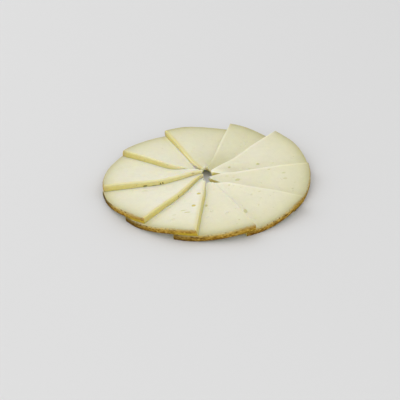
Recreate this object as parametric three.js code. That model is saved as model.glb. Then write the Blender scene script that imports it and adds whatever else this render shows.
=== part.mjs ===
// Aged sheep cheese: ten thin slices of a small wheel, laid out again as a round fan.
// Each slice is one eighth of the wheel. It lies on the next slice anticlockwise, and the tenth
// lies on the first, so the ring of overlaps is closed round a small gap in the middle.
// Millimetres, +Z up. The slices lie on the plane Z = 0, and -Y is the near side of the fan.
import * as THREE from 'three';

// Sizes that all slices share
const WHEEL_RADIUS = 108;      // half the width of the wheel that the slices were cut from
const RIM_THICKNESS = 6.8;     // a slice at its rind
const TIP_THICKNESS = 4.6;     // a slice at its tip, where the knife ran thin
const THICKENING_RUN = 95;     // distance from the apex over which the thickness grows
const SWEEP = 45;              // angle of one slice, in degrees
const CLEARANCE = 0.4;         // between a slice and the one it lies on
const RIND_BULGE = 0.6;        // how far the rind stands out halfway up its height
const FLAT_SHARE = 0.22;       // share of the free width that lies flat on the table
const BEND_POWER = 1.2;        // shape of the bend from the table up to the next slice
const SETTLING_RUN = 55;       // distance from the apex over which a lifted tip comes down

// Mesh cells along and across a slice
const CELLS_ALONG = 22;
const CELLS_TO_FOLD = 9;
const CELLS_PAST_FOLD = 4;
const TIP_CROWDING = 1.6;      // above 1, the cells get shorter towards the tip
const FOLD_RANGE = [0.3, 0.92];  // shares of the sweep that the fold keeps between

// How many slices further on still shape a slice that lies on them
const DEEPEST_LAYER = 2;

// Paste colour on every slice
const PASTE_COLOUR = 0xe7e3c8;
const PASTE_ROUGHNESS = 0.6;

const COMMON = {
  sweep: SWEEP,
  rim: RIM_THICKNESS,
  tip: TIP_THICKNESS,
  settle: SETTLING_RUN,
};

// One row for each slice, anticlockwise from above, from the one at the back.
//   apex    where the lines of its two cut edges meet
//   turn    direction of its raised edge, in degrees from +X
//   reach   from the apex to the rind, at the low edge and at the raised edge
//   trim    from the apex to the blunt tip, at the low edge and at the raised edge
//   lift    height of the low edge at the tip, gone by the distance settle
//   prop    height of the underside of the raised edge at the tip
//   ease    distance from the apex by which the raised edge lies on the next slice
const SLICES = [
  {
    ...COMMON, name: 'slice_a', apex: [3, -5], turn: 114.5, reach: [108.5, 106], trim: [24, 10],
    tip: 3.4, lift: 1.5, prop: 10, ease: 45,
  },
  {
    ...COMMON, name: 'slice_b', apex: [6.3, -4], turn: 149, reach: [105.5, WHEEL_RADIUS], trim: [26, 18],
    tip: 4, lift: 0, prop: 0.5, ease: 55,
  },
  {
    ...COMMON, name: 'slice_c', apex: [1.2, -3], turn: 189.8, sweep: 43.2, reach: [104.5, WHEEL_RADIUS],
    trim: [8, 3], lift: 11.5, settle: 50, prop: 12.6, ease: 10,
  },
  {
    ...COMMON, name: 'slice_d', apex: [1.5, -2.5], turn: 234, reach: [109, WHEEL_RADIUS], trim: [5, 4],
    lift: 8, prop: 10.6, ease: 15,
  },
  {
    ...COMMON, name: 'slice_e', apex: [2.5, -6], turn: 263, sweep: 45.5, reach: [105.5, 110.5],
    trim: [4, 12], lift: 6, prop: 8.5, ease: 20,
  },
  {
    ...COMMON, name: 'slice_f', apex: [5, -5.3], turn: 292.5, sweep: 43, reach: [109.5, 112.5],
    trim: [7, 11], rim: 7.2, lift: 2, prop: 4, ease: 20,
  },
  {
    ...COMMON, name: 'slice_g', apex: [2, -6.5], turn: 331.5, sweep: 41.5, reach: [108.5, 111],
    trim: [8, 4], tip: 3.5, lift: 0, prop: 2.5, ease: 30,
  },
  {
    ...COMMON, name: 'slice_h', apex: [2.5, -1.5], turn: 5, sweep: 42, reach: [109, 108.5],
    trim: [4, 2], lift: 2.2, prop: 4.2, ease: 38,
  },
  {
    ...COMMON, name: 'slice_i', apex: [5.3, 0.8], turn: 45.5, sweep: 44, reach: [106.5, 107.5],
    trim: [3, 2.5], lift: 7, settle: 30, prop: 8, ease: 40,
  },
  {
    ...COMMON, name: 'slice_j', apex: [-0.5, -1.5], turn: 72.5, reach: [104, WHEEL_RADIUS], trim: [16, 12],
    tip: 2.4, lift: 5, prop: 5, ease: 20,
  },
];
SLICES.forEach((slice, i) => {
  slice.next = SLICES[(i + 1) % SLICES.length];
});

const { clamp, degToRad, euclideanModulo, lerp, radToDeg, smoothstep } = THREE.MathUtils;

const fromApex = (slice, x, y) => Math.hypot(x - slice.apex[0], y - slice.apex[1]);

// How far a point lies inside the line of a slice's low edge
function insideLowEdge(slice, x, y) {
  const low = degToRad(slice.turn - slice.sweep);
  return Math.cos(low) * (y - slice.apex[1]) - Math.sin(low) * (x - slice.apex[0]);
}

function thickness(slice, x, y) {
  return lerp(slice.tip, slice.rim, smoothstep(fromApex(slice, x, y) / THICKENING_RUN, 0, 1));
}

// Underside of the low edge: on the table, but lifted at the tip
function lowEdgeHeight(slice, x, y) {
  return slice.lift * smoothstep(1 - fromApex(slice, x, y) / slice.settle, 0, 1);
}

// Underside of a slice: flat on the table, then bent up to the next slice, then lying on it
function underside(slice, x, y, layer = 0) {
  const { next } = slice;
  const own = insideLowEdge(slice, x, y);
  const beyond = insideLowEdge(next, x, y);
  const resting = lowEdgeHeight(next, x, y) + thickness(next, x, y) + CLEARANCE;
  const propped = (slice.prop - resting) * (1 - smoothstep(fromApex(slice, x, y) / slice.ease, 0, 1));
  if (beyond >= 0 && own > 0 && layer < DEEPEST_LAYER) {
    return underside(next, x, y, layer + 1) + thickness(next, x, y) + CLEARANCE + Math.max(propped, 0);
  }
  const share = own / Math.max(own - beyond, Number.EPSILON);
  const rise = clamp((share - FLAT_SHARE) / (1 - FLAT_SHARE), 0, 1) ** BEND_POWER;
  return lerp(lowEdgeHeight(slice, x, y), resting + propped, rise);
}

// Share of the sweep at which a slice, at this distance from its apex, meets the next one's edge
function foldShare(slice, distance) {
  const { next } = slice;
  const offset = insideLowEdge(next, slice.apex[0], slice.apex[1]);
  const edge = next.turn - next.sweep;
  const crossing = edge - radToDeg(Math.asin(clamp(offset / distance, -1, 1)));
  const past = euclideanModulo(crossing - (slice.turn - slice.sweep) + 180, 360) - 180;
  return clamp(past / slice.sweep, ...FOLD_RANGE);
}

// Column j of the cells: from the low edge to the fold, and on to the raised edge
function columnShare(slice, distance, j) {
  const fold = foldShare(slice, distance);
  if (j <= CELLS_TO_FOLD) {
    return fold * j / CELLS_TO_FOLD;
  }
  return lerp(fold, 1, (j - CELLS_TO_FOLD) / CELLS_PAST_FOLD);
}

// Point of the outline grid: i along from the tip to the rind, j across from the low edge
function gridPoint(slice, i, j) {
  const along = (i / CELLS_ALONG) ** TIP_CROWDING;
  const middle = lerp((slice.trim[0] + slice.trim[1]) / 2, (slice.reach[0] + slice.reach[1]) / 2, along);
  const share = columnShare(slice, middle, j);
  const distance = lerp(lerp(...slice.trim, share), lerp(...slice.reach, share), along);
  const direction = degToRad(slice.turn - slice.sweep * (1 - share));
  return {
    x: slice.apex[0] + distance * Math.cos(direction),
    y: slice.apex[1] + distance * Math.sin(direction),
    direction,
  };
}

// Closed body of one slice: top, underside, two cut faces, blunt tip and bulging rind
function sliceGeometry(slice) {
  const across = CELLS_TO_FOLD + CELLS_PAST_FOLD;
  const positions = [];
  const triangles = [];
  const bottom = [];
  const top = [];
  const rind = [];

  const vertex = (x, y, z) => positions.push(x, y, z) / 3 - 1;
  const quad = (a, b, c, d) => triangles.push(a, b, c, a, c, d);

  for (let i = 0; i <= CELLS_ALONG; i += 1) {
    bottom.push([]);
    top.push([]);
    for (let j = 0; j <= across; j += 1) {
      const { x, y } = gridPoint(slice, i, j);
      const z = underside(slice, x, y);
      bottom[i].push(vertex(x, y, z));
      top[i].push(vertex(x, y, z + thickness(slice, x, y)));
    }
  }
  for (let j = 0; j <= across; j += 1) {
    const { x, y, direction } = gridPoint(slice, CELLS_ALONG, j);
    const z = underside(slice, x, y) + thickness(slice, x, y) / 2;
    rind.push(vertex(x + RIND_BULGE * Math.cos(direction), y + RIND_BULGE * Math.sin(direction), z));
  }

  for (let i = 0; i < CELLS_ALONG; i += 1) {
    for (let j = 0; j < across; j += 1) {
      quad(top[i][j], top[i + 1][j], top[i + 1][j + 1], top[i][j + 1]);
      quad(bottom[i][j], bottom[i][j + 1], bottom[i + 1][j + 1], bottom[i + 1][j]);
    }
  }
  for (let i = 0; i < CELLS_ALONG; i += 1) {
    quad(bottom[i][0], bottom[i + 1][0], top[i + 1][0], top[i][0]);
    quad(bottom[i + 1][across], bottom[i][across], top[i][across], top[i + 1][across]);
  }
  for (let j = 0; j < across; j += 1) {
    quad(bottom[0][j + 1], bottom[0][j], top[0][j], top[0][j + 1]);
    quad(bottom[CELLS_ALONG][j], bottom[CELLS_ALONG][j + 1], rind[j + 1], rind[j]);
    quad(rind[j], rind[j + 1], top[CELLS_ALONG][j + 1], top[CELLS_ALONG][j]);
  }
  triangles.push(bottom[CELLS_ALONG][0], rind[0], top[CELLS_ALONG][0]);
  triangles.push(bottom[CELLS_ALONG][across], top[CELLS_ALONG][across], rind[across]);

  const geometry = new THREE.BufferGeometry();
  geometry.setAttribute('position', new THREE.Float32BufferAttribute(positions, 3));
  geometry.setIndex(triangles);
  geometry.computeVertexNormals();
  return geometry;
}

const paste = new THREE.MeshStandardMaterial({ color: PASTE_COLOUR, roughness: PASTE_ROUGHNESS });

const fan = new THREE.Group();
for (const slice of SLICES) {
  const mesh = new THREE.Mesh(sliceGeometry(slice), paste.clone());
  mesh.name = slice.name;
  fan.add(mesh);
}

// The origin is under the middle of the fan, on the table
const extent = new THREE.Box3().setFromObject(fan);
const centre = extent.getCenter(new THREE.Vector3());
fan.position.set(-centre.x, -centre.y, -extent.min.z);

const cheese = new THREE.Group();
cheese.add(fan);

export default cheese;
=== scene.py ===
# Aged sheep cheese: ten thin slices of a small wheel, laid out again as a round fan.
# Lengths are millimetres until a mesh is made, and +Z is up. -Y is the near side.
import math
from collections import namedtuple

import bmesh
import bpy
import numpy as np
from mathutils import Matrix, Vector, noise


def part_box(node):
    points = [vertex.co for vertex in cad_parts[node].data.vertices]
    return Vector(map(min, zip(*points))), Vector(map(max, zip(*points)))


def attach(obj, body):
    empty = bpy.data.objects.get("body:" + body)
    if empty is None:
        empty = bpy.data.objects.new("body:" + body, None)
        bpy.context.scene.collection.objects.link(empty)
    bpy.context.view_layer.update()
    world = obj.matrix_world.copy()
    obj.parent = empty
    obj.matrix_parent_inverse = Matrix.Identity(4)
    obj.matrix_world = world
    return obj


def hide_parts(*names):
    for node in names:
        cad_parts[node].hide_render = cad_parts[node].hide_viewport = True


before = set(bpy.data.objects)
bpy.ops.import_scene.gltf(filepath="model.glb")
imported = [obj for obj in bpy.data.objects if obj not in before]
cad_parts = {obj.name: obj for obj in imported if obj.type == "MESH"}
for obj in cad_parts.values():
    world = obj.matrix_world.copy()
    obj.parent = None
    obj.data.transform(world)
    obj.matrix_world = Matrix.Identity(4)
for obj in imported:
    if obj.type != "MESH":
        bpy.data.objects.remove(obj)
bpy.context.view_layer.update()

MM = 0.001

# The slices, anticlockwise from above, with the sizes that their solids were made with.
#   apex    where the lines of the two cut edges meet
#   turn    direction of the raised edge, in degrees from +X
#   sweep   angle from the low edge to the raised edge, in degrees
#   reach   from the apex to the rind, at the low edge and at the raised edge
#   trim    from the apex to the blunt tip, at the low edge and at the raised edge
#   tip     thickness at the apex, which grows to rim towards the rind
#   lift    height of the low edge at the tip, gone by the distance settle
#   prop    height of the underside of the raised edge at the tip
#   ease    distance from the apex by which the raised edge lies on the next slice
COMMON_SHAPE = dict(sweep=45.0, tip=4.6, rim=6.8, settle=55.0)
SLICES = [
    dict(COMMON_SHAPE, name="slice_a", apex=(3.0, -5.0), turn=114.5, reach=(108.5, 106.0),
         trim=(24.0, 10.0), tip=3.4, lift=1.5, prop=10.0, ease=45.0),
    dict(COMMON_SHAPE, name="slice_b", apex=(6.3, -4.0), turn=149.0, reach=(105.5, 108.0),
         trim=(26.0, 18.0), tip=4.0, lift=0.0, prop=0.5, ease=55.0),
    dict(COMMON_SHAPE, name="slice_c", apex=(1.2, -3.0), turn=189.8, reach=(104.5, 108.0),
         trim=(8.0, 3.0), sweep=43.2, lift=11.5, settle=50.0, prop=12.6, ease=10.0),
    dict(COMMON_SHAPE, name="slice_d", apex=(1.5, -2.5), turn=234.0, reach=(109.0, 108.0),
         trim=(5.0, 4.0), lift=8.0, prop=10.6, ease=15.0),
    dict(COMMON_SHAPE, name="slice_e", apex=(2.5, -6.0), turn=263.0, reach=(105.5, 110.5),
         trim=(4.0, 12.0), sweep=45.5, lift=6.0, prop=8.5, ease=20.0),
    dict(COMMON_SHAPE, name="slice_f", apex=(5.0, -5.3), turn=292.5, reach=(109.5, 112.5),
         trim=(7.0, 11.0), sweep=43.0, rim=7.2, lift=2.0, prop=4.0, ease=20.0),
    dict(COMMON_SHAPE, name="slice_g", apex=(2.0, -6.5), turn=331.5, reach=(108.5, 111.0),
         trim=(8.0, 4.0), sweep=41.5, tip=3.5, lift=0.0, prop=2.5, ease=30.0),
    dict(COMMON_SHAPE, name="slice_h", apex=(2.5, -1.5), turn=5.0, reach=(109.0, 108.5),
         trim=(4.0, 2.0), sweep=42.0, lift=2.2, prop=4.2, ease=38.0),
    dict(COMMON_SHAPE, name="slice_i", apex=(5.3, 0.8), turn=45.5, reach=(106.5, 107.5),
         trim=(3.0, 2.5), sweep=44.0, lift=7.0, settle=30.0, prop=8.0, ease=40.0),
    dict(COMMON_SHAPE, name="slice_j", apex=(-0.5, -1.5), turn=72.5, reach=(104.0, 108.0),
         trim=(16.0, 12.0), tip=2.4, lift=5.0, prop=5.0, ease=20.0),
]

# How each slice looks.
#   lean      how far the foot of the raised edge's cut stands out from its top
#   tone  painted light and shade over the paste, and tip_tone how much that
#             changes towards the tip
#   glow  painted light along the raised edge
#   fat  how yellow the paste is along the raised edge: partly fat, partly painted shade
#             that dims the edge's highlight
#   veil  painted light that brightens the paste beside the slice that lies on it, where
#             its shadow falls, and how far out
#   crust  how white the tip is: partly dry skin, partly a painted highlight
#   gold      how golden the cuts are, and the lower half of the rind at the raised edge
#   cut_tip   painted light and shade on the raised cut at its tip, its share of ivory there,
#             and how far from the rind they begin to change
#   low_rind  painted light and shade on the rind at the low edge
COMMON_LOOK = dict(lean=0.0, tone=1.0, tip_tone=1.0, glow=0.0, fat=0.0, veil=(0.0, 1.0),
                   crust=0.2, gold=0.2, cut_tip=(1.0, 0.0, 50.0), low_rind=1.0)
LOOKS = {
    "slice_a": dict(tone=0.985, tip_tone=0.94, fat=0.9, veil=(0.05, 3.0),
                    cut_tip=(1.15, 0.4, 25.0)),
    "slice_b": dict(lean=1.2, tone=1.02, fat=0.25, veil=(0.19, 4.0), cut_tip=(1.0, 0.6, 44.0)),
    "slice_c": dict(lean=1.2, tone=1.042, tip_tone=0.985, fat=0.55, cut_tip=(0.84, 0.12, 80.0)),
    "slice_d": dict(tone=1.053, tip_tone=0.985, fat=0.9, veil=(0.08, 2.5), gold=0.7,
                    cut_tip=(0.79, 0.06, 58.0), low_rind=0.4),
    "slice_e": dict(lean=2.0, tone=1.053, tip_tone=1.03, fat=0.6, veil=(0.14, 3.0), crust=0.4,
                    gold=0.7, low_rind=0.75),
    "slice_f": dict(tip_tone=1.015, veil=(0.14, 4.0), crust=0.9),
    "slice_g": dict(tip_tone=1.025, glow=0.05, veil=(0.12, 9.0), crust=0.7, low_rind=1.4),
    "slice_h": dict(tone=0.99, glow=0.08),
    "slice_i": dict(tip_tone=0.99, glow=0.06, veil=(0.14, 9.0)),
    "slice_j": dict(tone=0.955, tip_tone=0.86, glow=0.06, veil=(0.10, 9.0)),
}

SEED_STEP = 10.0         # keeps the noise of one slice apart from that of the next
for place, slice_ in enumerate(SLICES):
    slice_.update(COMMON_LOOK)
    slice_.update(LOOKS[slice_["name"]])
    slice_["next"] = SLICES[(place + 1) % len(SLICES)]
    slice_["before"] = SLICES[place - 1]
    slice_["seed"] = SEED_STEP * place

# Shape of every slice
THICKENING_RUN = 95.0    # distance from the apex over which the thickness grows
CLEARANCE = 0.1          # left between a slice and the one it lies on
FLAT_SHARE = 0.22        # share of the way to the next slice over which a slice stays down
BEND_POWER = 1.2         # shape of the ramp from there up onto the next slice
MOST_RISE = 1.4          # the ramp goes on this far past the edge below before it ends
BEND_SHARE = 0.09        # half width of the bend over that edge, by distance from the apex
BEND_HALF_WIDTH = (0.3, 7.0)  # the least and the most that it may be
DEEPEST_LAYER = 2        # how many slices further on still shape one that lies on them
RIND_BULGE = 0.6         # how far the rind stands out halfway up its height
BULGE_POWER = 0.7        # below 1, the bulge is flatter in the middle

# Bends are spread out across a slice, on heights that go on past both of its edges
BEND_SPREAD = 0.09       # share of the sweep over which they are spread
SPREAD_MARGIN = 0.5      # how far the heights go on, as a share of the sweep
SPREAD_SAMPLES = 401
SPREAD_REACH = 0.4       # where the spreading ends
SLOPE_SHARE = 0.05       # the slope at an edge is taken over this share

# Mesh cells along, across and through a slice, with one column along its fold over the next
CELLS_ALONG = 88
CELLS_TO_FOLD = 48
CELLS_PAST_FOLD = 20
FOLD_RANGE = (0.3, 0.92)  # shares of the sweep between which that column stays
LAYERS = 12
TIP_CROWDING = 1.4       # above 1, the cells get shorter towards the tip

# Edges, and what the knife and the rind leave uneven
EDGE_ROUND = 0.5         # radius of the cut edges
LOW_EDGE_ROUND = 0.2     # radius of the low edge, which lies under the slice before
ROUND_STEPS = (0.0, 0.3, 1.0)  # a rounded edge has points at these shares of its radius
MOST_ROUND_SHARE = 0.1   # of the width, for a rounded edge where the slice is narrow
MOST_DROP_SHARE = 0.2    # of the thickness, for the drop of a rounded edge
EDGE_WOBBLE = 0.25       # how far the knife wandered sideways
WOBBLE_SIZE = 15.0       # length of its waves
TOP_WAVE = 0.15          # how far the top is from smooth
TOP_WAVE_SIZE = 20.0     # length of its waves
LEAN_RUN = 0.2           # share of the length and of the sweep over which the cut's lean grows
RIND_RELIEF = 0.3        # height of the rind's ridges and dents
RIDGE_SHARE = 0.6
DENT_SHARE = 0.5
RIDGE_LENGTH = 14.0      # of the ridges that run round the wheel
RIDGES_IN_HEIGHT = 3.4
DENT_LENGTH = 3.2        # of the dents across them
DENTS_IN_HEIGHT = 2.2
RIND_RUN = 6.0           # how far in from the rind its relief still moves the edges
SHARP_ANGLE = 50.0       # edges that turn more than this stay sharp

# Noise in shapes, and places in it that keep its uses apart
NOISE_SMOOTHNESS = 1.0   # how fast the finer octaves get weaker
NOISE_GROWTH = 2.0       # each octave is this much finer than the one before
WANDER_PLACE = 0.5
WAVE_PLACE = 3.0
RIDGE_PLACE = 5.0
DENT_PLACE = 7.0

# Eyes and slits seen on the tops: distance from the apex, share of the sweep from the low edge,
# length, width, depth, direction of the length in degrees from +X, and how yellow
TOP_EYES = {
    "slice_a": [(66.0, 0.500, 2.4, 1.5, 0.3, 0, 0.5)],
    "slice_c": [(70.0, 0.600, 2.2, 1.4, 0.3, 10, 0.6), (62.0, 0.300, 2.4, 1.2, 0.3, 0, 0.5)],
    "slice_d": [(66.5, 0.210, 9.0, 1.8, 0.6, 6, 0.9), (63.0, 0.260, 6.0, 1.0, 0.3, 4, 0.5)],
    "slice_e": [
        (36.0, 0.832, 5.0, 4.6, 0.25, 0, 1.8), (62.1, 0.857, 5.0, 5.2, 0.25, 0, 1.6),
        (91.8, 0.655, 4.0, 4.6, 0.7, 0, 0.2), (73.6, 0.706, 9.0, 1.6, 0.45, 2, 1.3),
        (77.1, 0.798, 8.0, 1.8, 0.5, 2, 1.3), (83.0, 0.610, 6.0, 1.4, 0.4, 0, 0.9),
    ],
    "slice_f": [
        (53.6, 0.361, 3.6, 6.0, 0.3, 0, 1.1), (66.9, 0.487, 3.6, 4.4, 0.9, 0, 0.15),
        (78.5, 0.748, 4.2, 3.8, 0.8, 0, 0.2), (95.7, 0.849, 2.7, 2.0, 0.4, 0, 0.4),
        (101.7, 0.798, 2.7, 1.6, 0.4, 0, 0.4), (62.0, 0.420, 2.2, 1.5, 0.3, 0, 0.6),
    ],
    "slice_g": [
        (75.5, 0.245, 4.4, 9.5, 0.5, 12, 0.85), (28.1, 0.840, 3.1, 2.0, 0.35, 0, 0.7),
        (59.6, 0.706, 3.8, 2.4, 0.5, 0, 0.5), (65.3, 0.857, 4.1, 1.6, 0.3, 0, 0.7),
        (78.0, 0.513, 2.3, 2.7, 0.5, 0, 0.3),
    ],
    "slice_h": [
        (65.8, 0.908, 4.1, 1.6, 0.3, 5, 0.9), (20.7, 0.697, 4.6, 2.6, 0.3, 0, 0.45),
        (33.8, 0.521, 6.8, 4.2, 0.4, 5, 0.9), (80.3, 0.790, 5.0, 2.6, 0.4, 0, 0.75),
        (82.6, 0.630, 5.4, 2.6, 0.4, 0, 0.75),
    ],
    "slice_i": [
        (55.6, 0.387, 4.1, 3.1, 0.9, 20, 1.0), (23.7, 0.546, 4.6, 2.8, 0.3, 10, 1.0),
        (71.0, 0.300, 3.2, 1.4, 0.3, 0, 0.6),
    ],
    "slice_j": [(74.1, 0.529, 2.0, 1.5, 0.4, 0, 0.4), (71.9, 0.588, 2.4, 1.9, 0.5, 30, 0.6)],
}

# Holes in the raised cut faces: distance from the apex, share of the thickness, length, height
# and depth
CUT_EYES = {
    "slice_a": [(60.0, 0.40, 1.8, 1.2, 0.5)],
    "slice_b": [(52.0, 0.75, 3.4, 0.9, 0.5), (80.0, 0.35, 2.2, 1.0, 0.5)],
    "slice_c": [
        (45.3, 0.18, 1.6, 3.2, 1.4), (48.1, 0.20, 1.3, 3.0, 1.4), (63.9, 0.14, 5.0, 1.7, 1.3),
        (55.0, 0.10, 6.0, 1.0, 0.8), (13.0, 0.55, 4.2, 3.0, 0.4),
    ],
    "slice_d": [(48.9, 0.45, 2.4, 1.8, 1.1), (57.0, 0.25, 2.0, 1.0, 0.6)],
}

# Small eyes scattered over each top and small holes in its cuts, with the ranges of their sizes
SMALL_EYES = 20
SMALL_EYE = dict(width=(0.7, 1.7), stretches=(1.0, 1.3, 2.5), distance=(22.0, 96.0),
                 share=(0.06, 0.94), depth=(0.25, 0.6), turn=(-12.0, 12.0), tint=0.4)
SMALL_HOLES = 6
SMALL_HOLE = dict(distance=(25.0, 95.0), level=(0.2, 0.85), length=(0.8, 2.4),
                  height=(0.5, 1.0), depth=(0.3, 0.6))

# How eyes are pressed into a mesh
PIT_MARGIN = 1.4         # how far round an eye the mesh is made finer
PIT_CUTS = 4             # new points along each of its edges there
PIT_FACING = 0.7         # how straight a face has to look out of the eye to be made finer
PIT_NEARNESS = 2.0       # how far behind or before the eye's mouth such a face may lie
DENT_MARGIN = 0.6        # how far round an eye points may still move
DENT_NEARNESS = 0.45     # how far behind or before its mouth they may lie
DENT_RIM = 1.1           # where its wall begins, as a share of its half size
DENT_WALL = 0.55         # width of the wall, as such a share
RAGGEDNESS = 0.25        # how uneven its outline is
RAGGED_BUMPS = 1.3       # bumps of the outline in a millimetre

# Widths of the stretches where the paste and the cuts change
RAISED_EDGE_LIGHT_WIDTH = 3.5         # painted light along the raised edge
FAT_AND_SHADE_WIDTH = 4.5          # yellow line along it, partly fat and partly painted shade
TIP_TONE_START = 45.0    # how far from the rind the painted light and shade begin to change towards the tip
TIP_TONE_RUN = 40.0
CUT_TIP_RUN = 35.0
LOW_RIND_SHARE = 0.6     # share of the sweep over which the painted light and shade at the low end of the rind fade

# Kinds of faces, in the order of their materials
PASTE, CUT, RIND = range(3)

# An eye or a hole: its mouth's middle, three directions, its sizes and how strong its colour is,
# which in a hole of a cut is partly painted shade
Pit = namedtuple("Pit", "centre along across inward half_length half_width depth tint")


def smooth(share):
    """A share kept between 0 and 1 and eased at both ends."""
    share = np.clip(share, 0.0, 1.0)
    return share * share * (3.0 - 2.0 * share)


def lerp(start, end, share):
    return start + (end - start) * share


def from_apex(wedge, x, y):
    return np.hypot(x - wedge["apex"][0], y - wedge["apex"][1])


def left_of_line(wedge, direction, x, y):
    """How far places lie to the left of the line from the apex of a slice in a direction."""
    turn = math.radians(direction)
    return math.cos(turn) * (y - wedge["apex"][1]) - math.sin(turn) * (x - wedge["apex"][0])


def inside_low_edge(wedge, x, y):
    return left_of_line(wedge, wedge["turn"] - wedge["sweep"], x, y)


def past_raised_edge(wedge, x, y):
    return left_of_line(wedge, wedge["turn"], x, y)


def thickness(wedge, x, y):
    return lerp(wedge["tip"], wedge["rim"], smooth(from_apex(wedge, x, y) / THICKENING_RUN))


def low_edge_height(wedge, x, y):
    return wedge["lift"] * smooth(1.0 - from_apex(wedge, x, y) / wedge["settle"])


def underside(wedge, x, y, layer=0):
    """Flat on the table, then bent up to the next slice, then lying on it."""
    after = wedge["next"]
    own = inside_low_edge(wedge, x, y)
    beyond = inside_low_edge(after, x, y)
    resting = low_edge_height(after, x, y) + thickness(after, x, y) + CLEARANCE
    propped = (wedge["prop"] - resting) * (1.0 - smooth(from_apex(wedge, x, y) / wedge["ease"]))
    share = own / np.maximum(own - beyond, np.finfo(float).eps)
    rise = np.clip((share - FLAT_SHARE) / (1.0 - FLAT_SHARE), 0.0, MOST_RISE) ** BEND_POWER
    ramp = lerp(low_edge_height(wedge, x, y), resting + propped, rise)
    if layer == DEEPEST_LAYER:
        return ramp
    lying = underside(after, x, y, layer + 1) + thickness(after, x, y) + CLEARANCE
    half_width = np.clip(BEND_SHARE * from_apex(wedge, x, y), *BEND_HALF_WIDTH)
    past = smooth(0.5 + beyond / (2.0 * half_width))
    return np.where(own > 0, lerp(ramp, lying + np.maximum(propped, 0.0), past), ramp)


def spread_bends(shares, heights):
    """Heights across a slice with their bends spread out, and the low edge left where it is."""
    fine = np.linspace(-SPREAD_MARGIN, 1.0 + SPREAD_MARGIN, SPREAD_SAMPLES)
    step = fine[1] - fine[0]
    reach = np.arange(-SPREAD_REACH, SPREAD_REACH + step / 2, step)
    kernel = np.exp(-0.5 * (reach / BEND_SPREAD) ** 2)
    kernel = kernel / kernel.sum()
    places = (0.0, SLOPE_SHARE, 1.0 - SLOPE_SHARE, 1.0)
    result = np.empty_like(heights)
    for row, (share, height) in enumerate(zip(shares, heights)):
        low, near_low, near_high, high = np.interp(places, share, height)
        values = np.interp(fine, share, height)
        values += np.minimum(fine, 0.0) * (near_low - low) / SLOPE_SHARE
        values += np.maximum(fine - 1.0, 0.0) * (high - near_high) / SLOPE_SHARE
        spread = np.interp(share, fine, np.convolve(values, kernel, "same"))
        result[row] = spread - (spread[0] - height[0]) * (1.0 - share) ** 2
    return result


def fold_share(wedge, distance):
    """Share of the sweep at which a slice, at a distance from its apex, meets the next one."""
    after = wedge["next"]
    offset = inside_low_edge(after, *wedge["apex"])
    edge = after["turn"] - after["sweep"]
    crossing = edge - np.degrees(np.arcsin(np.clip(offset / distance, -1.0, 1.0)))
    past = (crossing - (wedge["turn"] - wedge["sweep"]) + 180.0) % 360.0 - 180.0
    return np.clip(past / wedge["sweep"], *FOLD_RANGE)


def with_narrow_ends(narrow, middle):
    """Shares from 0 to 1 whose first and last steps follow the rounded edges."""
    start = [narrow * step for step in ROUND_STEPS[:-1]]
    end = [1.0 - narrow * step for step in reversed(ROUND_STEPS[:-1])]
    return np.array(start + [lerp(narrow, 1.0 - narrow, share) for share in middle] + end)


def column_shares(wedge, distance):
    fold = fold_share(wedge, distance)
    middle = [fold * j / CELLS_TO_FOLD for j in range(CELLS_TO_FOLD + 1)]
    middle += [lerp(fold, 1.0, j / CELLS_PAST_FOLD) for j in range(1, CELLS_PAST_FOLD + 1)]
    width = distance * math.radians(wedge["sweep"])
    return with_narrow_ends(min(EDGE_ROUND / width, MOST_ROUND_SHARE), middle)


def row_shares(length):
    middle = [(i / CELLS_ALONG) ** TIP_CROWDING for i in range(CELLS_ALONG + 1)]
    return with_narrow_ends(EDGE_ROUND / length, middle)


def rough(x, y, z, octaves=2):
    """Smooth noise, about -1 to 1, whose features are about one unit across."""
    points = np.stack([np.ravel(v) for v in np.broadcast_arrays(x, y, z)], axis=1)
    values = [noise.fractal(Vector(p), NOISE_SMOOTHNESS, NOISE_GROWTH, octaves)
              for p in points.tolist()]
    return np.array(values).reshape(np.broadcast(x, y, z).shape)


def fan_shift():
    """Where the slices' own origin lies in the frame, from the boxes of two solids."""
    by_name = {wedge["name"]: wedge for wedge in SLICES}
    back = by_name["slice_a"]
    right = by_name["slice_h"]
    low = math.radians(back["turn"] - back["sweep"])
    raised = math.radians(right["turn"])
    east = back["apex"][0] + (back["reach"][0] + RIND_BULGE) * math.cos(low)
    north = right["apex"][1] + (right["reach"][1] + RIND_BULGE) * math.sin(raised)
    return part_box("slice_a")[1].x / MM - east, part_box("slice_h")[1].y / MM - north


SHIFT = fan_shift()


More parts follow.
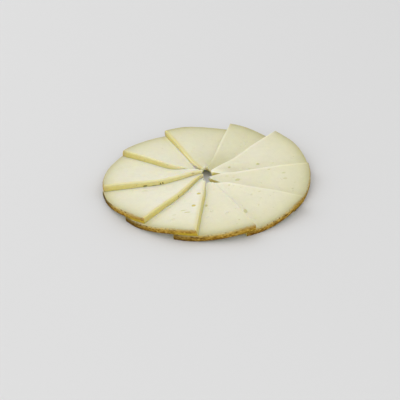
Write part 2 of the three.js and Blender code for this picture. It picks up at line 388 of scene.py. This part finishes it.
class Lattice:
    """Points of one slice over rows (tip to rind), columns (low to raised edge) and layers."""

    def __init__(self, wedge):
        self.wedge = wedge
        trim = sum(wedge["trim"]) / 2
        reach = sum(wedge["reach"]) / 2
        length = reach - trim
        along = row_shares(length)
        self.shares = np.array([column_shares(wedge, lerp(trim, reach, share)) for share in along])
        self.along = np.repeat(along[:, None], self.shares.shape[1], axis=1)
        self.level = np.linspace(0.0, 1.0, LAYERS + 1)
        self.distance = lerp(lerp(*wedge["trim"], self.shares), lerp(*wedge["reach"], self.shares),
                             self.along)
        self.direction = np.radians(wedge["turn"] - wedge["sweep"] * (1.0 - self.shares))
        self.width = self.distance * math.radians(wedge["sweep"])
        self.from_rind = (1.0 - self.along) * length
        self.from_tip = self.along * length
        self.points = self.bent_sheet()
        self.lean_raised_cut()
        self.shape_rind()
        self.points[..., :2] += SHIFT

    def bent_sheet(self):
        wedge = self.wedge
        x = wedge["apex"][0] + self.distance * np.cos(self.direction)
        y = wedge["apex"][1] + self.distance * np.sin(self.direction)
        base = np.maximum(spread_bends(self.shares, underside(wedge, x, y)), 0.0)
        thick = thickness(wedge, x, y)

        # The knife wandered a little between the tip and the rind
        edge_place = wedge["seed"] + np.round(self.shares)
        wander = rough(self.distance / WOBBLE_SIZE, edge_place, WANDER_PLACE)
        wander = EDGE_WOBBLE * wander * np.sin(math.pi * self.along) * (2.0 * self.shares - 1.0)
        x = x - wander * np.sin(self.direction)
        y = y + wander * np.cos(self.direction)

        # How far each point lies from the cut of the slice that lies on this one
        self.past_cut = past_raised_edge(wedge["before"], x, y)

        wave = rough(x / TOP_WAVE_SIZE, y / TOP_WAVE_SIZE, wedge["seed"] + WAVE_PLACE)
        drop = np.minimum(self.edge_drop(), MOST_DROP_SHARE * thick)
        top = base + thick + TOP_WAVE * (wave - 1.0) - drop
        points = np.empty(x.shape + (LAYERS + 1, 3))
        points[..., 0] = x[..., None]
        points[..., 1] = y[..., None]
        points[..., 2] = lerp(base[..., None], top[..., None], self.level)
        return points

    def edge_drop(self):
        """How far the rounded edges fall below the top."""
        from_low = self.shares * self.width / LOW_EDGE_ROUND
        from_raised = (1.0 - self.shares) * self.width / EDGE_ROUND
        from_ends = np.minimum(self.from_rind, self.from_tip) / EDGE_ROUND
        nearest = np.clip(np.minimum(np.minimum(from_low, from_raised), from_ends), 0.0, 1.0)
        return EDGE_ROUND * (1.0 - np.sqrt(1.0 - (1.0 - nearest) ** 2))

    def lean_raised_cut(self):
        """The foot of the raised edge's cut stands out where the knife leaned."""
        near_edge = smooth((self.shares - (1.0 - LEAN_RUN)) / LEAN_RUN)
        lean = self.wedge["lean"] * smooth(self.along / LEAN_RUN) * near_edge
        out = lean[..., None] * (1.0 - self.level)
        self.points[..., 0] -= out * np.sin(self.direction)[..., None]
        self.points[..., 1] += out * np.cos(self.direction)[..., None]

    def shape_rind(self):
        """The rind bulges, with ridges that run round the wheel and dents across them."""
        arc = (self.distance[-1] * self.direction[-1])[:, None]
        seed = self.wedge["seed"]
        ridges = rough(arc / RIDGE_LENGTH, self.level * RIDGES_IN_HEIGHT, seed + RIDGE_PLACE,
                       octaves=3)
        dents = rough(arc / DENT_LENGTH, self.level * DENTS_IN_HEIGHT, seed + DENT_PLACE)
        relief = RIDGE_SHARE * ridges + DENT_SHARE * dents - 1.0
        bulge = RIND_BULGE * np.sin(math.pi * self.level) ** BULGE_POWER
        out = bulge + RIND_RELIEF * relief
        out = out * (smooth(1.0 - self.from_rind / RIND_RUN) ** 2)[..., None]
        self.points[..., 0] += out * np.cos(self.direction)[..., None]
        self.points[..., 1] += out * np.sin(self.direction)[..., None]

    def spot(self, distance, share):
        """Row and column nearest to a place on the slice."""
        away = (self.distance - distance) ** 2 + ((self.shares - share) * self.distance) ** 2
        return np.unravel_index(np.argmin(away), away.shape)


def skin_faces(shape):
    """Quads of the lattice's six sides, as point indices, with the kind of each side."""
    skin = np.ones(shape, bool)
    skin[1:-1, 1:-1, 1:-1] = False
    index = np.full(shape, -1)
    index[skin] = np.arange(skin.sum())
    sides = [
        (index[:, :, -1], False, PASTE),
        (index[:, :, 0], True, PASTE),
        (index[:, 0, :], False, CUT),
        (index[:, -1, :], True, CUT),
        (index[0, :, :], True, CUT),
        (index[-1, :, :], False, RIND),
    ]
    faces = []
    kinds = []
    for grid, flip, kind in sides:
        a, b, c, d = grid[:-1, :-1], grid[1:, :-1], grid[1:, 1:], grid[:-1, 1:]
        corners = (a, d, c, b) if flip else (a, b, c, d)
        faces.append(np.stack([v.ravel() for v in corners], axis=1))
        kinds.append(np.full(faces[-1].shape[0], kind))
    return skin, np.concatenate(faces), np.concatenate(kinds)


def top_pits(lattice, dice):
    """Eyes of one top: those seen, and small ones at random."""
    eyes = list(TOP_EYES.get(lattice.wedge["name"], []))
    for _ in range(SMALL_EYES):
        width = dice.uniform(*SMALL_EYE["width"])
        length = width * dice.choice(SMALL_EYE["stretches"])
        distance = dice.uniform(*SMALL_EYE["distance"])
        share = dice.uniform(*SMALL_EYE["share"])
        depth = dice.uniform(*SMALL_EYE["depth"])
        turn = dice.uniform(*SMALL_EYE["turn"])
        eyes.append((distance, share, length, width, depth, turn, SMALL_EYE["tint"]))
    pits = []
    for distance, share, length, width, depth, turn, tint in eyes:
        centre = lattice.points[(*lattice.spot(distance, share), -1)]
        turn = math.radians(turn)
        along = (math.cos(turn), math.sin(turn), 0.0)
        across = (-math.sin(turn), math.cos(turn), 0.0)
        down = (0.0, 0.0, -1.0)
        pits.append(Pit(centre, along, across, down, length / 2, width / 2, depth, tint))
    return pits


def cut_pits(lattice, dice):
    """Holes in the two cut faces: those seen in the raised one, and small ones at random.

    The last value of a hole is 1 in the raised cut and 0 in the low one.
    """
    holes = [hole + (1,) for hole in CUT_EYES.get(lattice.wedge["name"], [])]
    for _ in range(SMALL_HOLES):
        sizes = [dice.uniform(*SMALL_HOLE[what])
                 for what in ("distance", "level", "length", "height", "depth")]
        holes.append((*sizes, dice.choice((0, 1))))
    pits = []
    for distance, level, length, height, depth, raised in holes:
        row, column = lattice.spot(distance, raised)
        centre = lattice.points[row, -1 if raised else 0, round(level * LAYERS)]
        turn = lattice.direction[row, column]
        sign = 1.0 if raised else -1.0
        along = (math.cos(turn), math.sin(turn), 0.0)
        up = (0.0, 0.0, 1.0)
        inward = (sign * math.sin(turn), -sign * math.cos(turn), 0.0)
        # A deeper hole gets a darker colour: partly painted shade
        pits.append(Pit(centre, along, up, inward, length / 2, height / 2, depth, depth))
    return pits


def pit_place(points, pit):
    """Places of points as seen from a pit: along it, across it and inward from its mouth."""
    offset = points - np.array(pit.centre)
    return [offset @ np.array(axis) for axis in (pit.along, pit.across, pit.inward)]


def near_pit(points, pit, margin):
    along, across, inward = np.abs(pit_place(points, pit))
    beside = (along < pit.half_length + margin) & (across < pit.half_width + margin)
    return beside & (inward < PIT_NEARNESS)


def refine(mesh, pits):
    """Smaller cells round the pits."""
    bm = bmesh.new()
    bm.from_mesh(mesh)
    centres = np.array([f.calc_center_median() for f in bm.faces]) / MM
    normals = np.array([f.normal for f in bm.faces])
    chosen = np.zeros(len(centres), bool)
    for pit in pits:
        facing = normals @ np.array(pit.inward) < -PIT_FACING
        chosen |= near_pit(centres, pit, PIT_MARGIN) & facing
    edges = {edge for face, keep in zip(bm.faces, chosen) if keep for edge in face.edges}
    order = sorted(edges, key=lambda edge: edge.index)
    bmesh.ops.subdivide_edges(bm, edges=order, cuts=PIT_CUTS, use_grid_fill=True)
    bm.to_mesh(mesh)
    bm.free()


def add_values(mesh, title, values):
    layer = mesh.attributes.new(title, "FLOAT", "POINT")
    layer.data.foreach_set("value", values.astype(np.float32))


def sink(mesh, pits, seed):
    """Presses the pits into a mesh whose cells are small there, and marks their points."""
    count = len(mesh.vertices)
    points = np.empty(count * 3)
    mesh.vertices.foreach_get("co", points)
    points = points.reshape(-1, 3) / MM
    rest = points.copy()
    tint = np.zeros(count)
    for number, pit in enumerate(pits):
        near = np.flatnonzero(near_pit(rest, pit, DENT_MARGIN))
        along, across, inward = pit_place(rest[near], pit)
        flat = np.abs(inward) < DENT_NEARNESS
        near, along, across = near[flat], along[flat], across[flat]
        outline = np.hypot(along / pit.half_length, across / pit.half_width)
        uneven = rough(along * RAGGED_BUMPS, across * RAGGED_BUMPS, seed + number)
        outline = outline * (1.0 + RAGGEDNESS * uneven)
        share = smooth((DENT_RIM - outline) / DENT_WALL)
        points[near] += np.outer(share * pit.depth, pit.inward)
        tint[near] = np.maximum(tint[near], share * pit.tint)
    mesh.vertices.foreach_set("co", (points * MM).ravel())
    add_values(mesh, "eye", tint)
    mesh.update()


def surface_values(lattice):
    """What the materials read at a point: where it is on its slice, and how the slice looks."""
    wedge = lattice.wedge
    from_raised = (1.0 - lattice.shares) * lattice.width
    veil, shadow_fill_width = wedge["veil"]
    cut_tip_light, cut_ivory, cut_start = wedge["cut_tip"]
    toward_tip = smooth((lattice.from_rind - TIP_TONE_START) / TIP_TONE_RUN)
    along_cut = smooth((lattice.from_rind - cut_start) / CUT_TIP_RUN)
    # Painted light and shade: each slice's own, a line of painted light along the raised edge, its
    # change towards the tip, and painted light that fills the shadow of the slice that lies on it
    tone = wedge["tone"] * (1.0 + wedge["glow"] * smooth(1.0 - from_raised / RAISED_EDGE_LIGHT_WIDTH))
    tone = tone * lerp(1.0, wedge["tip_tone"], toward_tip)
    tone = tone * (1.0 + veil * smooth(1.0 - lattice.past_cut / shadow_fill_width))
    over_surface = {
        "from_rind": lattice.from_rind,
        "from_tip": lattice.from_tip,
        "share": lattice.shares,
        "tone": tone,
        "gold": np.full_like(tone, wedge["gold"]),
        "crust": np.full_like(tone, wedge["crust"]),
        "fat": wedge["fat"] * smooth(1.0 - from_raised / FAT_AND_SHADE_WIDTH),
        "cut_painted_light": lerp(1.0, cut_tip_light, along_cut),
        "ivory": cut_ivory * along_cut,
        "rind_painted_light": lerp(wedge["low_rind"], 1.0, smooth(lattice.shares / LOW_RIND_SHARE)),
    }
    values = {title: block[..., None] for title, block in over_surface.items()}
    values["level"] = lattice.level
    return values


def closed_mesh(lattice, materials):
    """The lattice's skin as a mesh, with the values that its materials read."""
    shape = lattice.points.shape[:3]
    skin, faces, kinds = skin_faces(shape)
    mesh = bpy.data.meshes.new("cheese_" + lattice.wedge["name"])
    mesh.from_pydata((lattice.points[skin] * MM).tolist(), [], faces.tolist())
    for material in materials:
        mesh.materials.append(material)
    mesh.polygons.foreach_set("material_index", kinds.astype(np.int32))
    mesh.polygons.foreach_set("use_smooth", np.ones(len(faces), bool))
    for title, values in surface_values(lattice).items():
        add_values(mesh, title, np.broadcast_to(values, shape)[skin])
    mesh.validate()
    mesh.set_sharp_from_angle(angle=math.radians(SHARP_ANGLE))
    return mesh


def build_slice(s, materials):
    lattice = Lattice(s)
    mesh = closed_mesh(lattice, materials)
    dice = np.random.default_rng(int(s["seed"]) + 1)
    pits = top_pits(lattice, dice) + cut_pits(lattice, dice)
    refine(mesh, pits)
    sink(mesh, pits, s["seed"])

    piece = bpy.data.objects.new("cheese_" + s["name"], mesh)
    bpy.context.scene.collection.objects.link(piece)
    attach(piece, "root")
    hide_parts(s["name"])


# Places of the mix node's sockets: its factor and two colours, and the colour that it gives
MIX_INPUTS = (0, 6, 7)
MIX_OUTPUT = 2

MOST_FACTOR = 2.0                # brightest factor that an attribute can ask for
NOISE_MIDDLE = (0.3, 0.7)        # most of the noise lies between these values
SCATTERING = (1.0, 0.8, 0.35)    # how far red, green and blue spread inside the cheese


class Shading:
    """One material: short ways to add its nodes, and the colour that is built up so far."""

    def __init__(self, name):
        self.material = bpy.data.materials.new(name)
        self.material.use_nodes = True
        self.tree = self.material.node_tree
        self.shader = self.tree.nodes["Principled BSDF"]
        self.coords = self.tree.nodes.new("ShaderNodeTexCoord").outputs["Object"]
        self.colour = None

    def feed(self, socket, value):
        if isinstance(value, bpy.types.NodeSocket):
            self.tree.links.new(value, socket)
        else:
            socket.default_value = value

    def attribute(self, name):
        node = self.tree.nodes.new("ShaderNodeAttribute")
        node.attribute_name = name
        return node.outputs["Fac"]

    def noise(self, size, detail=3.0, squeeze=(1.0, 1.0, 1.0), offset=0.0):
        """Noise of 0 to 1, with features of about a size in millimetres before a squeeze."""
        mapping = self.tree.nodes.new("ShaderNodeMapping")
        mapping.inputs["Scale"].default_value = squeeze
        mapping.inputs["Location"].default_value = (offset, offset, offset)
        self.feed(mapping.inputs["Vector"], self.coords)
        node = self.tree.nodes.new("ShaderNodeTexNoise")
        node.inputs["Scale"].default_value = 1.0 / (size * MM)
        node.inputs["Detail"].default_value = detail
        self.feed(node.inputs["Vector"], mapping.outputs["Vector"])
        return node.outputs["Fac"]

    def math(self, operation, first, second):
        node = self.tree.nodes.new("ShaderNodeMath")
        node.operation = operation
        self.feed(node.inputs[0], first)
        self.feed(node.inputs[1], second)
        return node.outputs["Value"]

    def times(self, first, second):
        return self.math("MULTIPLY", first, second)

    def span(self, value, start, end, low=0.0, high=1.0):
        """Value taken smoothly from its range start..end to low..high."""
        node = self.tree.nodes.new("ShaderNodeMapRange")
        node.interpolation_type = "SMOOTHSTEP"
        self.feed(node.inputs["Value"], value)
        node.inputs["From Min"].default_value = min(start, end)
        node.inputs["From Max"].default_value = max(start, end)
        node.inputs["To Min"].default_value = low if start < end else high
        node.inputs["To Max"].default_value = high if start < end else low
        return node.outputs["Result"]

    def ramp(self, value, reach, stops):
        """Colours at values of 0 to reach."""
        node = self.tree.nodes.new("ShaderNodeValToRGB")
        self.feed(node.inputs["Fac"], self.math("DIVIDE", value, reach))
        elements = node.color_ramp.elements
        while len(elements) < len(stops):
            elements.new(1.0)
        for element, (place, colour) in zip(elements, stops):
            element.position = place / reach
            element.color = (*colour, 1.0)
        return node.outputs["Color"]

    def blend(self, kind, share, first, second):
        node = self.tree.nodes.new("ShaderNodeMix")
        node.data_type = "RGBA"
        node.blend_type = kind
        factor, first_colour, second_colour = (node.inputs[i] for i in MIX_INPUTS)
        self.feed(factor, share)
        for socket, value in ((first_colour, first), (second_colour, second)):
            self.feed(socket, (*value, 1.0) if isinstance(value, tuple) else value)
        return node.outputs[MIX_OUTPUT]

    def cover(self, colour, share):
        """Lays a colour over the one so far, as strongly as the share says."""
        self.colour = self.blend("MIX", share, self.colour, colour)

    def multiply(self, factor):
        self.colour = self.blend("MULTIPLY", 1.0, self.colour, factor)

    def factor(self, value):
        """A number of 0 to 2 as a grey factor for multiplying colours."""
        return self.ramp(value, MOST_FACTOR, [(0.0, (0.0,) * 3), (MOST_FACTOR, (MOST_FACTOR,) * 3)])

    def mottle(self, noise, low, high):
        """Multiplies the colour so far by greys from low to high that follow a noise."""
        start, end = NOISE_MIDDLE
        self.multiply(self.ramp(noise, 1.0, [(start, (low,) * 3), (end, (high,) * 3)]))

    def bump(self, *layers):
        """Bumps from pairs of height and depth in millimetres, coarse ones first."""
        normal = None
        for height, depth in layers:
            node = self.tree.nodes.new("ShaderNodeBump")
            node.inputs["Distance"].default_value = depth * MM
            self.feed(node.inputs["Height"], height)
            if normal is not None:
                self.feed(node.inputs["Normal"], normal)
            normal = node.outputs["Normal"]
        self.feed(self.shader.inputs["Normal"], normal)

    def finish(self, roughness, specular, translucency, depth):
        """The finished material, which light enters to about a depth in millimetres."""
        self.feed(self.shader.inputs["Base Color"], self.colour)
        self.feed(self.shader.inputs["Roughness"], roughness)
        self.shader.inputs["Specular IOR Level"].default_value = specular
        self.shader.inputs["Subsurface Weight"].default_value = translucency
        self.shader.inputs["Subsurface Radius"].default_value = SCATTERING
        self.shader.inputs["Subsurface Scale"].default_value = depth * MM
        return self.material


# Colours
IVORY = (0.835, 0.805, 0.61)
DRY_TIP_AND_HIGHLIGHT = (0.96, 0.93, 0.82)
STRAW_TOP = (0.76, 0.73, 0.47)
STRAW = (0.72, 0.64, 0.265)
STRAW_FOOT = (0.68, 0.60, 0.205)
WARM_STRAW = (0.66, 0.50, 0.15)
GOLDEN = (0.69, 0.61, 0.17)
EYE_OLIVE = (0.62, 0.60, 0.26)
EYE_STRAW = (0.70, 0.60, 0.17)
HOLE_SHADE_BROWN = (0.22, 0.17, 0.05)
RIND_EDGE = (0.55, 0.51, 0.28)
RIND_LINE = (0.34, 0.20, 0.045)
RIND_YELLOW = (0.56, 0.42, 0.04)
OCHRE = (0.41, 0.26, 0.045)
GOLD_BROWN = (0.31, 0.165, 0.014)
DARK_BROWN = (0.14, 0.065, 0.006)
PALE_RIND = (0.60, 0.42, 0.10)
ORANGE_BROWN = (0.38, 0.215, 0.035)

# Range of the painted light and shade on the paste, and its colour factors at both ends
TONE_RANGE = (0.8, 1.2)
DIM_PASTE = (0.8, 0.8, 0.64)
BRIGHT_PASTE = (1.2, 1.2, 1.36)

# How the paste and the cuts ripen towards the rind: colour factors at millimetres from it
PASTE_RIPENING = [
    (0.0, (0.62, 0.60, 0.43)), (2.2, (0.71, 0.70, 0.54)), (4.0, (0.78, 0.775, 0.62)),
    (6.0, (0.835, 0.835, 0.705)), (8.5, (0.885, 0.885, 0.775)), (12.0, (0.93, 0.93, 0.85)),
    (17.0, (0.955, 0.955, 0.90)), (25.0, (0.98, 0.98, 0.95)), (38.0, (1.0, 1.0, 1.0)),
]
CUT_RIPENING = [
    (0.0, (0.72, 0.66, 0.58)), (3.0, (0.85, 0.80, 0.68)), (6.0, (0.93, 0.90, 0.77)),
    (12.0, (0.97, 0.96, 0.86)), (25.0, (0.99, 0.99, 0.98)), (45.0, (1.0, 1.01, 1.06)),
    (75.0, (1.0, 1.02, 1.22)),
]

# Colours from the foot to the top of a cut and of the rind, darker at the foot partly as painted
# shade, and the rind's painted light and shade round a slice
CUT_LEVELS = [(0.0, STRAW_FOOT), (0.38, STRAW), (0.62, STRAW), (0.92, STRAW_TOP)]
RIND_LEVELS = [(0.0, DARK_BROWN), (0.35, GOLD_BROWN), (0.72, OCHRE), (1.0, RIND_EDGE)]
RIND_END_LIGHT_AND_SHADE = [(0.08, (0.60, 0.58, 0.55)), (0.48, (1.1, 1.1, 1.1))]

# Mottling of the paste: size, detail, and the darkest and lightest grey
PASTE_MOTTLES = [(24.0, 3.0, 0.975, 1.0), (5.0, 4.0, 0.975, 1.01), (0.9, 3.0, 0.97, 1.01)]

RIND_LINE_WANDER = -0.9          # how far noise moves the thin line of the rind, in millimetres
CHEESE_BODY = dict(specular=0.3, translucency=0.8, depth=4.0)
RIND_BODY = dict(specular=0.05, translucency=0.1, depth=1.0)


def ripen(shade, stops):
    last = stops[-1][0]
    shade.multiply(shade.ramp(shade.attribute("from_rind"), last, stops))


def draw_rind_line(shade, strength):
    """The rind's own thickness, seen as a thin broken line where a cut crosses it."""
    wander = shade.times(shade.noise(2.0), RIND_LINE_WANDER)
    from_rind = shade.attribute("from_rind")
    line = shade.span(shade.math("ADD", from_rind, wander), start=0.75, end=0.15, high=strength)
    spots = shade.span(shade.noise(2.4, offset=11.0), start=0.42, end=0.62, low=0.3)
    at_raised_edge = shade.span(shade.attribute("share"), start=0.55, end=0.85, low=0.4)
    shade.cover(RIND_LINE, shade.times(shade.times(line, spots), at_raised_edge))


def paste_material():
    """Ivory, darker at the rind, with painted light and shade over each slice, yellow fat and painted
    shade along the raised cut, and a dry white tip with a painted highlight.
    """
    shade = Shading("paste")
    shade.colour = IVORY
    ripen(shade, PASTE_RIPENING)
    for size, detail, low, high in PASTE_MOTTLES:
        shade.mottle(shade.noise(size, detail), low, high)
    # Painted light and shade over each slice
    tone = shade.span(shade.attribute("tone"), *TONE_RANGE)
    shade.multiply(shade.blend("MIX", tone, DIM_PASTE, BRIGHT_PASTE))

    # Straw along the raised edge: partly fat, partly painted shade that dims the edge's highlight
    shade.cover(STRAW, shade.attribute("fat"))
    flecks = shade.noise(3.2, detail=2.0, squeeze=(1.0, 2.6, 1.0), offset=7.0)
    shade.cover(STRAW, shade.span(flecks, start=0.68, end=0.8, high=0.2))

    eye = shade.attribute("eye")
    yellow = shade.span(eye, start=1.0, end=1.5)
    eye_colour = shade.blend("MIX", yellow, EYE_OLIVE, EYE_STRAW)
    shade.cover(eye_colour, shade.span(eye, start=0.05, end=1.3))
    # A dry white skin at the tip, partly a painted highlight
    skin = shade.span(shade.attribute("from_tip"), start=4.0, end=0.3)
    shade.cover(DRY_TIP_AND_HIGHLIGHT, shade.times(skin, shade.attribute("crust")))
    draw_rind_line(shade, strength=0.6)
    shade.bump((shade.noise(6.0, detail=2.0), 0.10), (shade.noise(0.8, detail=4.0), 0.05))
    roughness = shade.span(shade.noise(4.0), *NOISE_MIDDLE, low=0.48, high=0.62)
    return shade.finish(roughness, **CHEESE_BODY)


def cut_material():
    """Straw yellow, deeper at the foot partly as painted shade, golden on the low edge, with painted
    light and shade near the raised cut's tip, pale and dry at the tips with a painted highlight, and
    dark brown holes that are partly painted shade.
    """
    shade = Shading("cut")
    level = shade.attribute("level")
    place = shade.attribute("share")
    from_tip = shade.attribute("from_tip")
    # Deeper straw at the foot, partly painted shade
    shade.colour = shade.ramp(level, 1.0, CUT_LEVELS)
    mottling = shade.noise(3.5, detail=4.0, squeeze=(1.0, 1.0, 2.0))
    shade.mottle(mottling, low=0.92, high=1.03)
    ripen(shade, CUT_RIPENING)
    low_edge = shade.span(place, start=0.5, end=0.3, high=0.8)
    golden = shade.math("MAXIMUM", shade.times(shade.attribute("gold"), 0.6), low_edge)
    shade.cover(GOLDEN, golden)
    warm = shade.noise(7.0, detail=2.0, offset=5.0)
    shade.cover(WARM_STRAW, shade.span(warm, start=0.55, end=0.75, high=0.15))

    above_foot = shade.span(level, start=0.15, end=0.6)
    shade.cover(IVORY, shade.times(shade.attribute("ivory"), above_foot))
    # Painted light and shade on the raised cut near its tip
    shade.multiply(shade.factor(shade.attribute("cut_painted_light")))
    # Paler and white towards the tip: partly dry skin, partly a painted highlight
    pale = shade.span(shade.attribute("crust"), start=0.2, end=0.7, low=0.3, high=0.85)
    pale = shade.times(shade.span(from_tip, start=13.0, end=2.0), pale)
    shade.cover(IVORY, shade.times(pale, shade.span(place, start=0.4, end=0.6)))
    dry = shade.span(from_tip, start=2.0, end=0.2, high=0.6)
    shade.cover(DRY_TIP_AND_HIGHLIGHT, shade.times(dry, shade.span(level, start=0.5, end=0.9)))
    # Dark brown in the holes, deeper ones darker: partly painted shade
    shade.cover(HOLE_SHADE_BROWN, shade.span(shade.attribute("eye"), start=0.05, end=0.9, high=0.8))
    draw_rind_line(shade, strength=0.8)
    coarse = shade.noise(3.0, squeeze=(1.0, 1.0, 2.0))
    shade.bump((coarse, 0.15), (shade.noise(0.7), 0.05))
    return shade.finish(roughness=0.5, **CHEESE_BODY)


def rind_material():
    """Golden brown with dark and light mottling, darker towards the foot partly as painted shade."""
    shade = Shading("rind")
    level = shade.attribute("level")
    # Darker towards the foot, partly painted shade near the table
    shade.colour = shade.ramp(level, 1.0, RIND_LEVELS)
    patches = shade.noise(9.0, squeeze=(1.0, 1.0, 2.5))
    shade.cover(DARK_BROWN, shade.span(patches, start=0.5, end=0.75, high=0.75))
    flecks = shade.noise(2.6, detail=4.0, squeeze=(1.0, 1.0, 2.2), offset=3.0)
    shade.cover(PALE_RIND, shade.span(flecks, start=0.52, end=0.64, high=0.8))
    shade.cover(DARK_BROWN, shade.span(flecks, start=0.46, end=0.36, high=0.9))

    # Painted shade darkens its low end and painted light brightens the rest, with each slice's own
    # painted light and shade at the low end; it is dark orange above yellow at the raised end
    place = shade.attribute("share")
    shade.multiply(shade.ramp(place, 1.0, RIND_END_LIGHT_AND_SHADE))
    shade.multiply(shade.factor(shade.attribute("rind_painted_light")))
    raised_end = shade.span(place, start=0.62, end=0.9)
    upper = shade.span(level, start=0.6, end=0.75, high=0.6)
    shade.cover(ORANGE_BROWN, shade.times(raised_end, upper))
    lower = shade.times(raised_end, shade.span(level, start=0.62, end=0.4))
    shade.cover(RIND_YELLOW, shade.times(lower, shade.attribute("gold")))
    pits = shade.noise(2.4, detail=4.0, squeeze=(1.0, 1.0, 2.5), offset=3.0)
    shade.bump((pits, 0.35), (shade.noise(0.6), 0.12))
    roughness = shade.span(shade.noise(3.0), *NOISE_MIDDLE, low=0.6, high=0.85)
    return shade.finish(roughness, **RIND_BODY)


# The view: a long lens, well above the fan and tipped slightly, with angles in degrees
CAMERA_DISTANCE = 1404.0
CAMERA_ELEVATION = 31.69
CAMERA_ROLL = -2.66
CAMERA_AIM = (-5.56, -35.87)     # place on the table, from the slices' own origin
FOCAL_PIXELS = 1360.5            # focal length, as pixels of a picture
PICTURE_PIXELS = 400             # that is this wide
SENSOR_WIDTH = 36.0
FARTHEST = 20.0                  # metres

# The studio, in metres, degrees and watts
FLOOR_HALF = 3.0
FLOOR_GREY = 0.76
FLOOR_ROUGHNESS = 0.9
WORLD_STRENGTH = 0.79
LIGHTS = [
    dict(name="key", direction=145.0, elevation=48.0, distance=1.7, size=1.6, power=5.0),
    dict(name="fill", direction=-95.0, elevation=16.0, distance=2.0, size=1.4, power=9.0),
]


def make_camera():
    elevation = math.radians(CAMERA_ELEVATION)
    roll = math.radians(CAMERA_ROLL)
    target = Vector((SHIFT[0] + CAMERA_AIM[0], SHIFT[1] + CAMERA_AIM[1], 0.0)) * MM
    right = Vector((1.0, 0.0, 0.0))
    up = Vector((0.0, math.sin(elevation), math.cos(elevation)))
    back = right.cross(up)
    tipped_right = math.cos(roll) * right + math.sin(roll) * up
    tipped_up = math.cos(roll) * up - math.sin(roll) * right

    data = bpy.data.cameras.new("camera")
    data.sensor_width = SENSOR_WIDTH
    data.lens = FOCAL_PIXELS * SENSOR_WIDTH / PICTURE_PIXELS
    data.clip_end = FARTHEST
    camera = bpy.data.objects.new("camera", data)
    turned = Matrix((tipped_right, tipped_up, back)).transposed().to_4x4()
    camera.matrix_world = Matrix.Translation(target + back * CAMERA_DISTANCE * MM) @ turned
    bpy.context.scene.collection.objects.link(camera)
    bpy.context.scene.camera = camera


def make_floor():
    mesh = bpy.data.meshes.new("floor")
    corners = [(x * FLOOR_HALF, y * FLOOR_HALF, 0.0) for x, y in ((-1, -1), (1, -1), (1, 1), (-1, 1))]
    mesh.from_pydata(corners, [], [(0, 1, 2, 3)])
    floor = bpy.data.objects.new("floor", mesh)
    bpy.context.scene.collection.objects.link(floor)
    material = bpy.data.materials.new("floor")
    material.use_nodes = True
    shader = material.node_tree.nodes["Principled BSDF"]
    shader.inputs["Base Color"].default_value = (FLOOR_GREY, FLOOR_GREY, FLOOR_GREY, 1.0)
    shader.inputs["Roughness"].default_value = FLOOR_ROUGHNESS
    mesh.materials.append(material)


def area_light(name, direction, elevation, distance, size, power):
    """A square light aimed at the fan from a direction in degrees from +X."""
    turn = math.radians(direction)
    rise = math.radians(elevation)
    place = Vector((math.cos(turn) * math.cos(rise), math.sin(turn) * math.cos(rise),
                    math.sin(rise))) * distance
    data = bpy.data.lights.new(name, "AREA")
    data.size = size
    data.energy = power
    light = bpy.data.objects.new(name, data)
    light.location = place
    light.rotation_euler = (-place).to_track_quat("-Z", "Y").to_euler()
    bpy.context.scene.collection.objects.link(light)


def make_lights():
    for light in LIGHTS:
        area_light(**light)
    world = bpy.data.worlds.new("studio")
    world.use_nodes = True
    background = world.node_tree.nodes["Background"]
    background.inputs["Color"].default_value = (1.0, 1.0, 1.0, 1.0)
    background.inputs["Strength"].default_value = WORLD_STRENGTH
    bpy.context.scene.world = world
    bpy.context.scene.view_settings.view_transform = "Standard"


MATERIALS = (paste_material(), cut_material(), rind_material())
for slice_ in SLICES:
    build_slice(slice_, MATERIALS)
make_camera()
make_floor()
make_lights()
